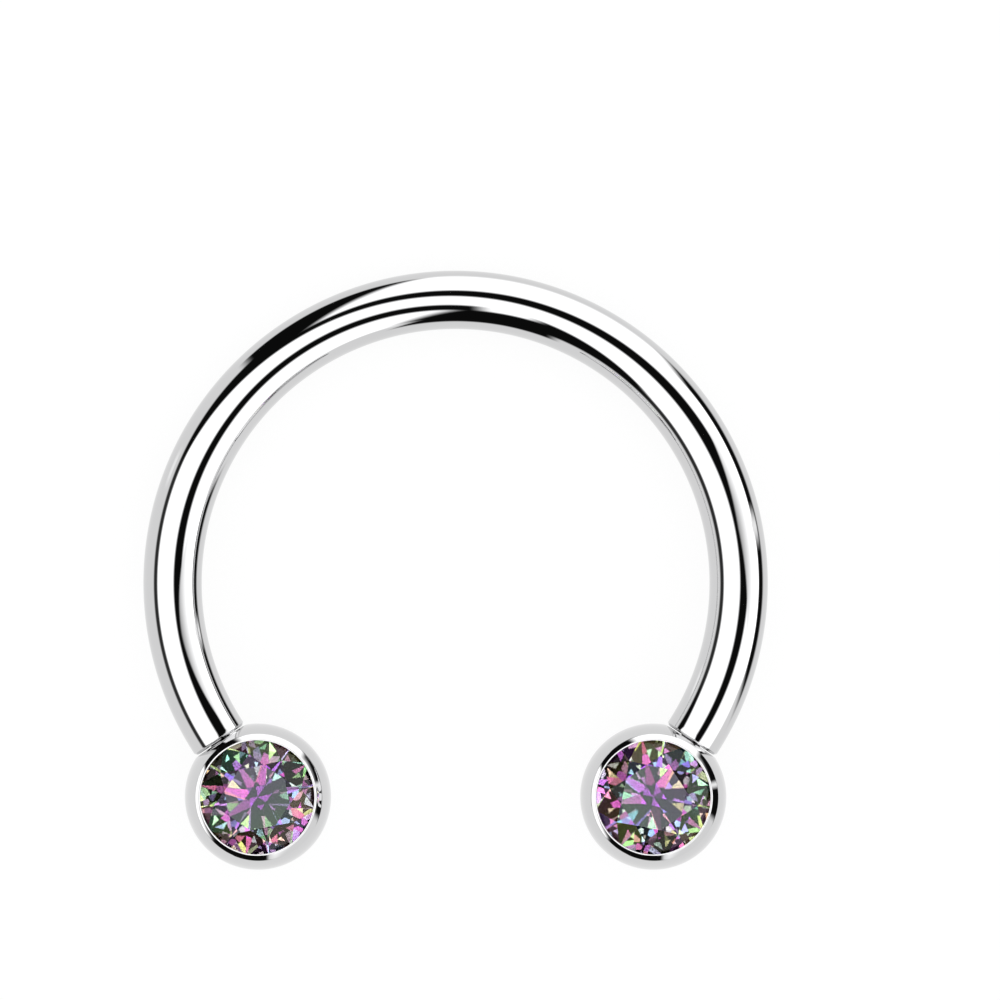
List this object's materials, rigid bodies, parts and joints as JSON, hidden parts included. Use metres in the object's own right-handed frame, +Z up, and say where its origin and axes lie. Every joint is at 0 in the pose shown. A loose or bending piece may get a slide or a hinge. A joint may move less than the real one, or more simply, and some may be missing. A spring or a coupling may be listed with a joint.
{
  "type": "horseshoe barbell",
  "caption": "Horseshoe barbell for a body piercing: a curved round bar with push-in ball ends on curved pins, each ball set with a round cut stone.",
  "frame": {"origin": "on the table it lies on, below the middle of its bounding box", "axes": "+X to the right ball when the stones face up and the opening faces the viewer, +Y from the opening to the far side of the bar, +Z up; the horseshoe's own axis leans about 5 degrees from +Z towards +Y, because the balls are thicker than the bar"},
  "size_m": [0.0128, 0.0122, 0.0027],
  "materials": {
    "bar_metal": "mirror polished titanium",
    "ball_metal": "mirror polished titanium",
    "stone": "clear faceted stone with a rainbow coating on its back facets"
  },
  "bodies": {
    "bar": {"bar": "bar_metal"},
    "left_end": {"left_ball_end": "ball_metal", "left_stone": "stone"},
    "right_end": {"right_ball_end": "ball_metal", "right_stone": "stone"}
  },
  "joints": [
    {"name": "left_pin", "type": "hinge", "parent": "bar", "child": "left_end", "pos_m": [0, -0.00026, 0.00111], "axis": [0, 0.0884, 0.9961], "range_deg": [0, 27]},
    {"name": "right_pin", "type": "hinge", "parent": "bar", "child": "right_end", "pos_m": [0, -0.00026, 0.00111], "axis": [0, -0.0884, -0.9961], "range_deg": [0, 27]}
  ]
}
